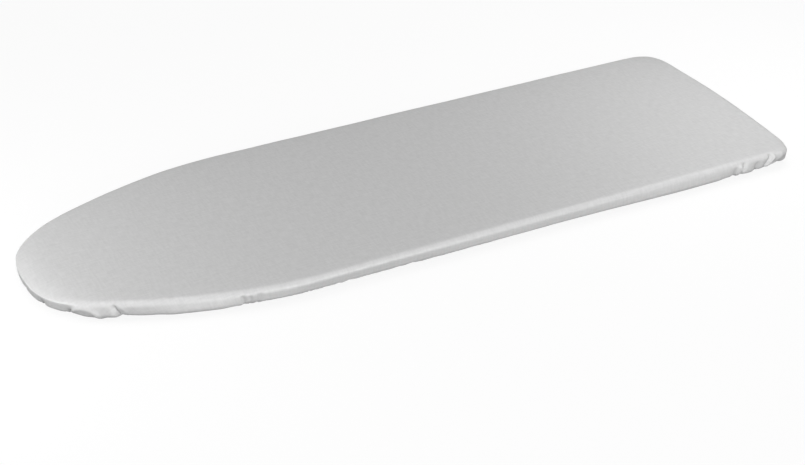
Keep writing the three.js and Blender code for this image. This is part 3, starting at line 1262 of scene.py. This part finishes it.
@dataclass
class HemStitching:
    """The seam that holds the binding, a row of lock stitches on each face, and the tack on the lap."""

    binding: HemBinding
    elastic: HemElastic
    finish: FibreFinish
    pitch: float = 3.2 * MM
    length: float = 2.4 * MM
    thread: float = 0.45 * MM
    seam: float = 41.6 * MM
    tacks: int = 10
    # The zigzag's share of the lap's length, and its turns as shares of the elastic's width.
    tack_reach: float = 0.8
    tack_turns: tuple[float, float] = (0.8, 0.2)

    def add(self, bm: bmesh.types.BMesh, start: Vector, end: Vector) -> None:
        """Adds one stitch, a thread that bulges between its two holes.

        Args:
            bm: The mesh.
            start: Its first hole.
            end: Its second hole.
        """
        turn = (end - start).to_track_quat("X", "Z").to_matrix().to_4x4()
        size = Matrix.Diagonal(((end - start).length, self.thread, self.thread, 1))
        place = Matrix.Translation((start + end) / 2) @ turn @ size
        bmesh.ops.create_icosphere(bm, subdivisions=1, radius=0.5, matrix=place)

    def seam_face(self, bm: bmesh.types.BMesh, up: float) -> None:
        """Sews one face of the binding.

        Args:
            bm: The mesh.
            up: The face's height over the middle of the hem.
        """
        line = Path([self.binding.point(place, self.seam, up) for place in self.binding.places()])
        half = self.length / 2
        for k in range(int(line.length / self.pitch)):
            middle = (k + 0.5) * self.pitch
            self.add(bm, line.at((middle - half) / line.length), line.at((middle + half) / line.length))

    def tack_lap(self, bm: bmesh.types.BMesh) -> None:
        """Sews the elastic's two ends together with a zigzag."""
        outline, elastic = self.binding.outline, self.elastic
        face = elastic.thickness + elastic.lap_gap
        for up in (face, -face):
            holes = []
            for k in range(self.tacks + 1):
                off = elastic.lap * (k / self.tacks - 0.5) * self.tack_reach
                place = outline.station(outline.half_girth - abs(off), Side.NEAR if off < 0 else Side.FAR)
                inset = elastic.inner - elastic.width * self.tack_turns[k % 2]
                holes.append(self.binding.point(place, inset, up))
            for start, end in zip(holes, holes[1:]):
                self.add(bm, start, end)

    def build(self) -> bpy.types.Object:
        """Builds all the stitches as one piece.

        Returns:
            The thread.
        """
        bm = bmesh.new()
        outer = self.binding.half_height + self.binding.layers.tape / 2
        self.seam_face(bm, outer)
        self.seam_face(bm, -outer)
        self.tack_lap(bm)
        return new_piece("hem_thread", bm, self.finish.build())


# Studio

def stand_round(
    data: bpy.types.Camera | bpy.types.Light, aim: Vector, azimuth: float, elevation: float, distance: float
) -> bpy.types.Object:
    """Stands a light or the camera round a point and turns it to the point.

    Args:
        data: The light's or the camera's settings.
        aim: The point.
        azimuth: Degrees round the point, 0 towards the near side.
        elevation: Degrees up from level.
        distance: How far from the point.

    Returns:
        The light or the camera.
    """
    turn, rise = math.radians(azimuth), math.radians(elevation)
    back = Vector((math.sin(turn) * math.cos(rise), -math.cos(turn) * math.cos(rise), math.sin(rise)))
    stand = bpy.data.objects.new(data.name, data)
    stand.location = aim + back * distance
    stand.rotation_mode = "QUATERNION"
    stand.rotation_quaternion = (-back).to_track_quat("-Z", "Y")
    bpy.context.scene.collection.objects.link(stand)
    return stand


@dataclass(frozen=True)
class Softbox:
    """A soft square light that stands round the cover and points at it."""

    name: str
    azimuth: float
    elevation: float
    distance: float
    size: float
    power: float
    aim: tuple[float, float, float] = (0.0, 0.0, 0.0)

    def build(self) -> bpy.types.Object:
        """Adds the light.

        Returns:
            The light.
        """
        data = bpy.data.lights.new(self.name, "AREA")
        data.shape = "SQUARE"
        data.size = self.size
        data.energy = self.power
        light = stand_round(data, Vector(self.aim), self.azimuth, self.elevation, self.distance)
        light.visible_camera = False
        return light


@dataclass
class Studio:
    """Pale floor and backdrop, soft light and the camera at the photograph's angle."""

    floor_height: float
    floor_size: float = 16.0
    backdrop_radius: float = 9.0
    azimuth: float = -27.403
    elevation: float = 31.033
    distance: float = 2.6134
    lens: float = 80.57
    sensor: float = 36.0
    target: Vector = field(default_factory=lambda: Vector((-0.07634, -0.14645, 0.0079)))
    # How bright the sky is below the horizon and above it.
    sky: tuple[float, float] = (0.1, 0.42)
    horizon: float = 0.3
    clip: float = 50.0
    floor: StudioPaper = StudioPaper("floor_paper", "#5c5c5c", 0.88)
    backdrop: StudioPaper = StudioPaper("backdrop_paper", "#000000", 0.95)
    lights: Sequence[Softbox] = (
        Softbox("front_softbox", -1, 6, 3.0, 2.2, 78.0),
        Softbox("left_softbox", -58, 6, 3.0, 2.2, 12.0),
        Softbox("ceiling_softbox", 0, 90, 2.5, 2.4, 27.5, (-0.25, 0, 0)),
        # It lights the underside from behind, so that the near edge stays in shade.
        Softbox("under_softbox", 153, -38, 2.2, 1.2, 42.0),
        Softbox("nose_softbox", -100, 34, 0.55, 0.4, 3.0, (-0.6, 0, 0)),
        Softbox("heel_softbox", 0, 84, 0.5, 0.4, 1.4, (0.66, 0, 0)),
    )

    def camera(self) -> None:
        """Places the camera that was fitted to the cover's outline in the photograph."""
        data = bpy.data.cameras.new("camera")
        data.lens = self.lens
        data.sensor_width = self.sensor
        data.sensor_fit = "HORIZONTAL"
        data.clip_end = self.clip
        camera = stand_round(data, self.target, self.azimuth, self.elevation, self.distance)
        bpy.context.scene.camera = camera

    def paper(self) -> None:
        """Lays the floor under the hem and sets the backdrop round it, both out of the cover's light."""
        bm = bmesh.new()
        bmesh.ops.create_grid(bm, x_segments=1, y_segments=1, size=self.floor_size / 2)
        bmesh.ops.translate(bm, verts=bm.verts, vec=UP * self.floor_height)
        floor = new_piece("floor", bm, self.floor.build(), smooth=False)
        bm = bmesh.new()
        bmesh.ops.create_icosphere(bm, subdivisions=4, radius=self.backdrop_radius)
        bmesh.ops.reverse_faces(bm, faces=bm.faces)
        backdrop = new_piece("backdrop", bm, self.backdrop.build())
        for paper in (floor, backdrop):
            paper.visible_diffuse = False
            paper.visible_glossy = False
            paper.visible_shadow = False
            paper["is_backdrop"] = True

    def world(self) -> None:
        """A white sky, darker below the horizon, so that the skirt falls into shade as it turns under."""
        world = bpy.data.worlds.new("studio_sky")
        world.use_nodes = True
        tree = world.node_tree
        tree.nodes.clear()
        direction = add_node(tree, "ShaderNodeTexCoord").outputs["Generated"]
        rise = add_node(tree, "ShaderNodeSeparateXYZ", {0: direction}).outputs[2]
        inputs = {0: rise, 1: -self.horizon, 2: self.horizon, 3: self.sky[0], 4: self.sky[1]}
        strength = add_node(tree, "ShaderNodeMapRange", inputs).outputs[0]
        background = add_node(tree, "ShaderNodeBackground", {"Strength": strength})
        add_node(tree, "ShaderNodeOutputWorld", {0: background.outputs[0]})
        bpy.context.scene.world = world

    def build(self) -> None:
        """Builds the studio."""
        self.camera()
        self.paper()
        self.world()
        for light in self.lights:
            light.build()
        bpy.context.scene.view_settings.view_transform = "Standard"


# Folds in millimetres: girth and drop of one end, girth and drop of the other, height, width and any bow.
# The near half has the folds that the photograph shows.
NEAR_FOLDS = (
    (8, 24, 8, 14, -2.0, 3.0),
    (55, 27, 60, 14, -4.5, 3.5),
    (102, 27, 106, 15, -4.0, 3.5),
    (106, 20, 152, 24, 3.0, 5.0, 12),
    (178, 27, 168, 5, -7.0, 2.4),
    (180, 29, 173, 17, -3.5, 1.8),
    (187, 18, 178, 6, 1.4, 3.0),
    (219, 22, 219, 6, 0.6, 8.0),
    (349, 27, 345, 7, -2.4, 2.2),
    (352, 20, 350, 3, 1.2, 2.0),
    (356, 27, 356, 9, -1.5, 2.0),
    (360, 18, 362, 3, 1.1, 2.0),
    (365, 27, 371, 6, -2.0, 2.4),
    (1146, 24, 1172, 22, -1.6, 8.0),
    (1173, 25, 1180, 6, 3.0, 2.8),
    (1180, 27, 1188, 4, -4.5, 2.8),
    (1210, 24, 1210, 9, -2.2, 4.0),
    (1224, 27, 1240, 2, -6.5, 2.4),
    (1236, 9, 1242, 1, -1.2, 1.8),
    (1246, 10, 1250, 2, -1.5, 2.0),
    (1231, 24, 1246, 6, 2.0, 3.0),
    (1240, 27, 1246, 14, -2.5, 3.0),
    (1244, 24, 1262, 3, 1.5, 3.0),
    (1246, 15, 1282, 5, 1.8, 4.5),
    (1257, 30, 1252, 15, -5.0, 8.0),
    (1296, 26, 1288, 8, -2.5, 4.0),
    (1322, 26, 1328, 11, -2.0, 5.0),
)
FAR_FOLDS = (
    (46, 27, 52, 11, -4.0, 4.0),
    (112, 27, 108, 10, -4.0, 4.0),
    (168, 26, 176, 5, -4.5, 3.5),
    (342, 26, 345, 5, -2.0, 2.5),
    (352, 26, 352, 6, -1.6, 2.5),
    (361, 26, 357, 6, -1.8, 2.5),
    (1170, 26, 1178, 5, -3.6, 3.0),
    (1164, 24, 1171, 8, 2.0, 3.0),
    (1204, 25, 1200, 9, -2.2, 4.0),
    (1222, 26, 1236, 3, -4.4, 3.5),
    (1229, 24, 1242, 6, 1.8, 3.0),
    (1262, 26, 1256, 8, -2.6, 4.0),
    (1300, 26, 1306, 10, -2.4, 4.0),
    (1245, 1, 1305, 1, -1.4, 14.0),
)
# Pouches in millimetres: girth of the start and the end, swell, and the length of each end's ease.
NEAR_POUCHES = (
    (-45, 57, 0.4, 20, 12),
    (57, 104, 0.8, 12, 12),
    (106, 177, 3.6, 26, 6),
    (178, 350, 1.8, 30, 8),
    (222, 340, 2.0, 30, 30),
    (400, 720, -1.8, 60, 140),
    (830, 1172, 3.4, 280, 12),
    (1172, 1215, 3.0, 12, 14),
    (1213, 1228, 1.4, 6, 6),
    (1254, 1302, 2.8, 16, 14),
)
FAR_POUCHES = (
    (-57, 48, 0.4, 12, 12),
    (48, 111, 1.5, 12, 12),
    (111, 170, 3.0, 20, 8),
    (171, 344, 2.2, 40, 10),
    (400, 720, -1.5, 60, 140),
    (850, 1168, 2.6, 260, 12),
    (1178, 1204, 2.0, 8, 8),
)


def skirt_folds(layers: Layers) -> tuple[list[Fold], list[Pouch]]:
    """Lays the folds and pouches out on the unrolled skirt.

    Args:
        layers: The section through the edge.

    Returns:
        The folds and the pouches of both halves.
    """
    folds, pouches = [], []
    for side, rows in ((Side.NEAR, NEAR_FOLDS), (Side.FAR, FAR_FOLDS)):
        for girth, drop, end_girth, end_drop, height, width, *bow in rows:
            start = Vector((girth * MM, layers.run_at(drop * MM)))
            end = Vector((end_girth * MM, layers.run_at(end_drop * MM)))
            folds.append(Fold(side, start, end, *(size * MM for size in (height, width, *bow))))
    for side, rows in ((Side.NEAR, NEAR_POUCHES), (Side.FAR, FAR_POUCHES)):
        for start, end, swell, ease_in, ease_out in rows:
            pouches.append(Pouch(side, start * MM, end * MM, swell * MM, (ease_in * MM, ease_out * MM)))
    return folds, pouches


def register(piece: bpy.types.Object, slot: Slot, *nodes: str) -> None:
    """Tells the frame where a piece belongs.

    Args:
        piece: The piece.
        slot: Its material slot, which is not used.
        *nodes: The solids that it stands for.
    """
    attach(piece, BODY)
    if nodes:
        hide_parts(*nodes)
    LOG.info("%s: %d faces, for %s", piece.name, len(piece.data.polygons), ", ".join(nodes) or "no solid")


def write_sizes() -> None:
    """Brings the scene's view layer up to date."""
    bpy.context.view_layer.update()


# How many faces lie along each stretch of a half, from the heel to the nose.
EDGE_STEPS = (16, 130, 130, 60, 230)


def main() -> None:
    """Builds the cover's pieces in order, then the studio."""
    logging.basicConfig(level=logging.INFO, format="%(name)s: %(message)s")
    low, high = CAD_BOX
    outline = Outline(length=1200 * MM, width=high.y - low.y)
    layers = Layers(face_top=high.z)
    gathers = Gathers(outline, layers, *skirt_folds(layers))
    cloth = CoverCloth(outline, layers, gathers, MetallisedCotton(), EDGE_STEPS).build()
    register(cloth, Slot.COTTON, "face_fabric")
    foam_sheet = PadSheet(
        "foam_sheet", outline, gathers, FOAM, layers.foam_edge(), EDGE_STEPS,
        square=40 * MM, unevenness=0.05 * MM,
    )
    foam = foam_sheet.build()
    register(foam, Slot.FOAM, "foam_pad")
    felt_sheet = PadSheet(
        "felt_sheet", outline, gathers, FELT, layers.felt_edge(), EDGE_STEPS,
        square=12 * MM, unevenness=0.35 * MM, lead=5 * MM,
    )
    felt = felt_sheet.build()
    register(felt, Slot.FELT, "felt_underlay")
    binding = HemBinding(outline, layers, gathers, TAPE)
    tape = binding.build()
    register(tape, Slot.TAPE, "hem_binding")
    elastic = HemElastic(binding, ELASTIC)
    band = elastic.build()
    register(band, Slot.ELASTIC, "hem_elastic")
    thread = HemStitching(binding, elastic, THREAD).build()
    register(thread, Slot.TAPE)
    skirt = layers.hem_run - layers.top_roll
    outline.area(-skirt)
    inset = layers.felt_inset
    outline.area(inset)
    write_sizes()
    Studio(floor_height=min(low.z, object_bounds()[0].z)).build()


if __name__ == "__main__":
    main()
